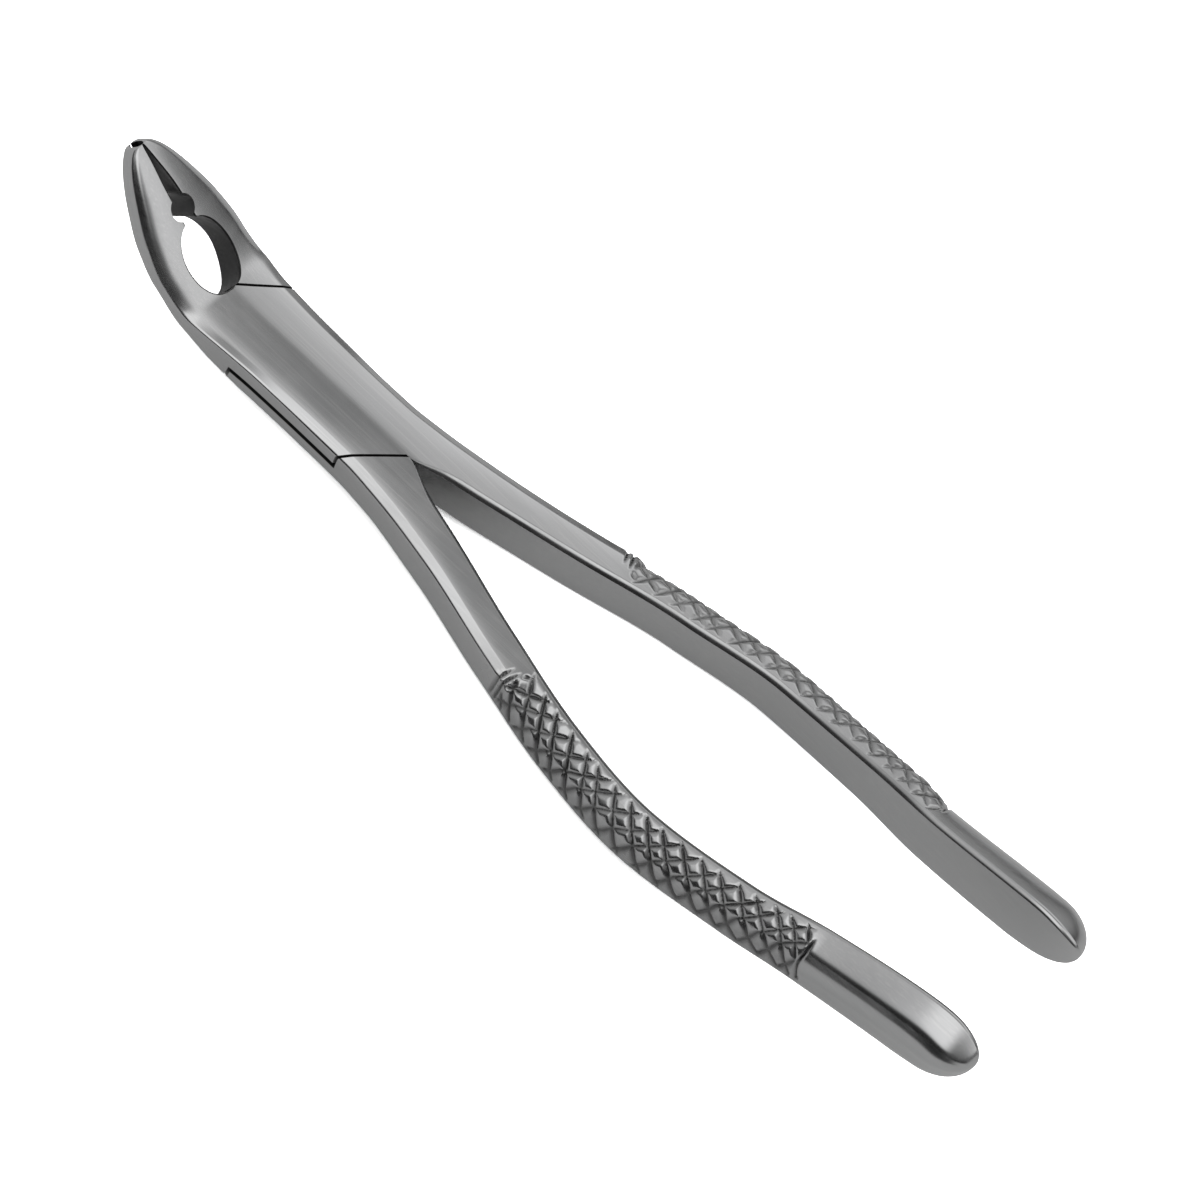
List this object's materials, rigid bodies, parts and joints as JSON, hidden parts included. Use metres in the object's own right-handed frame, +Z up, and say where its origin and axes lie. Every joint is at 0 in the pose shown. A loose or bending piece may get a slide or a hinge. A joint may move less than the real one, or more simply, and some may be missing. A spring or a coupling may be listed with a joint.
{
  "type": "dental extraction forceps",
  "caption": "Dental extraction forceps with upswept hollow beaks, a half-lap pivot joint and bowed handles with a cross-cut grip on their outer faces.",
  "frame": {"origin": "pivot axis at the flat underside of the joint", "axes": "+X along the instrument towards the handle ends, +Y across it towards the upper lever's handle, +Z up along the pivot axis"},
  "size_m": [0.1765, 0.0394, 0.0257],
  "materials": {
    "polished_steel": "polished",
    "screw_steel": "satin"
  },
  "bodies": {
    "top_lever": {"top_lever": "polished_steel", "pivot_screw": "screw_steel"},
    "bottom_lever": {"bottom_lever": "polished_steel"}
  },
  "joints": [
    {"name": "jaw_pivot", "type": "hinge", "parent": "top_lever", "child": "bottom_lever", "pos_m": [0, 0, 0.0043], "axis": [0, 0, -1], "range_deg": [0, 32]}
  ]
}
